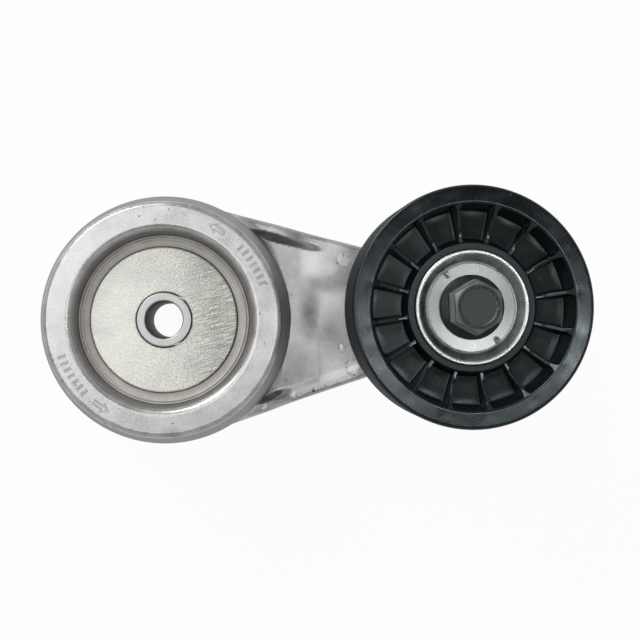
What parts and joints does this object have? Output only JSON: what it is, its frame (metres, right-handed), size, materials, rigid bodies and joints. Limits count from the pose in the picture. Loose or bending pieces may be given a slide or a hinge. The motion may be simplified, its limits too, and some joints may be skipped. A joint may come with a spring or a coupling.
{
  "type": "belt tensioner",
  "caption": "Spring-loaded belt tensioner: cast arm on a pivot with a coil spring in its cup, carrying a smooth idler pulley on a ball bearing.",
  "frame": {"origin": "pivot axis at the mounting face", "axes": "+Z along the pivot, from the mounting face to the front; +X from the pivot to the pulley with the arm on its free stop; +Y the way the arm turns to wind the spring"},
  "size_m": [0.1741, 0.08, 0.0664],
  "materials": {
    "cast_aluminium": "die cast, satin, lightly tumbled",
    "zinc_plated_steel": "zinc plated, mottled",
    "bright_steel": "turned bright steel",
    "bearing_steel": "ground and polished",
    "spring_steel": "dark oiled spring wire",
    "black_oxide_steel": "black oxide, oiled",
    "black_glass_filled_nylon": "moulded, satin",
    "grey_brown_nylon": "moulded, worn",
    "natural_nylon": "moulded",
    "sintered_bronze": "sintered, oiled",
    "nitrile_rubber": "moulded",
    "cage_nylon": "moulded"
  },
  "bodies": {
    "base": {"base_casting": "cast_aluminium", "pivot_tube": "bright_steel", "end_plate": "zinc_plated_steel", "locating_pin": "bright_steel", "thrust_washer": "grey_brown_nylon", "torsion_spring": "spring_steel", "damper_sleeve": "natural_nylon"},
    "arm": {"tensioner_arm": "cast_aluminium", "pivot_bushing": "sintered_bronze", "rear_dust_shield": "zinc_plated_steel", "bearing_inner_race": "bearing_steel", "front_dust_shield": "zinc_plated_steel", "pulley_bolt": "black_oxide_steel"},
    "pulley_wheel": {"pulley": "black_glass_filled_nylon", "bearing_outer_race": "bearing_steel", "front_bearing_seal": "nitrile_rubber", "rear_bearing_seal": "nitrile_rubber"},
    "ball_set": {"bearing_cage": "cage_nylon", "bearing_ball_1": "bearing_steel", "bearing_ball_2": "bearing_steel", "bearing_ball_3": "bearing_steel", "bearing_ball_4": "bearing_steel", "bearing_ball_5": "bearing_steel", "bearing_ball_6": "bearing_steel", "bearing_ball_7": "bearing_steel", "bearing_ball_8": "bearing_steel"}
  },
  "joints": [
    {"name": "arm_swing", "type": "hinge", "parent": "base", "child": "arm", "pos_m": [0, 0, 0.02], "axis": [0, 0, 1], "range_deg": [0, 38], "stiffness_Nm_per_rad": 20, "springref_deg": -34.38, "deforming": ["torsion_spring"]},
    {"name": "pulley_spin", "type": "hinge", "parent": "arm", "child": "pulley_wheel", "pos_m": [0.096, 0, 0.042], "axis": [0, 0, 1], "continuous": true},
    {"name": "ball_set_spin", "type": "hinge", "parent": "arm", "child": "ball_set", "pos_m": [0.096, 0, 0.042], "axis": [0, 0, 1], "continuous": true}
  ],
  "couplings": [
    {"joint": "ball_set_spin", "follows": "pulley_spin", "ratio": 0.61906}
  ]
}
